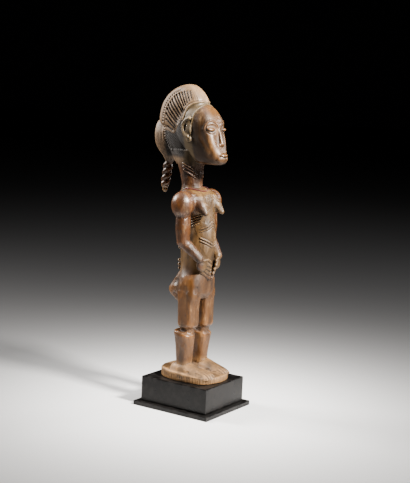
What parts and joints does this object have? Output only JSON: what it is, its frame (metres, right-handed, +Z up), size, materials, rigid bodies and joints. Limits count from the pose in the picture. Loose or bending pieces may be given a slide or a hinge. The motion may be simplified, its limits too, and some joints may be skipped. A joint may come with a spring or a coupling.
{
  "type": "carved wooden standing female figure",
  "caption": "Carved wooden standing woman with crested hair, a hanging plait and a thread round the neck, on a black stepped plinth.",
  "frame": {"origin": "centre of the plinth plate's underside", "axes": "+Z up, the figure faces -Y, its own right side is -X"},
  "size_m": [0.109, 0.1413, 0.4445],
  "materials": {
    "carved_wood": "handled dark brown wood, oiled and polished on the high places, greyer in the hair and paler on the feet",
    "red_thread": "matt twisted thread",
    "black_wood": "satin black paint"
  },
  "bodies": {
    "root": {"figure": "carved_wood", "neck_thread": "red_thread", "plinth_block": "black_wood", "plinth_plate": "black_wood"}
  },
  "joints": []
}
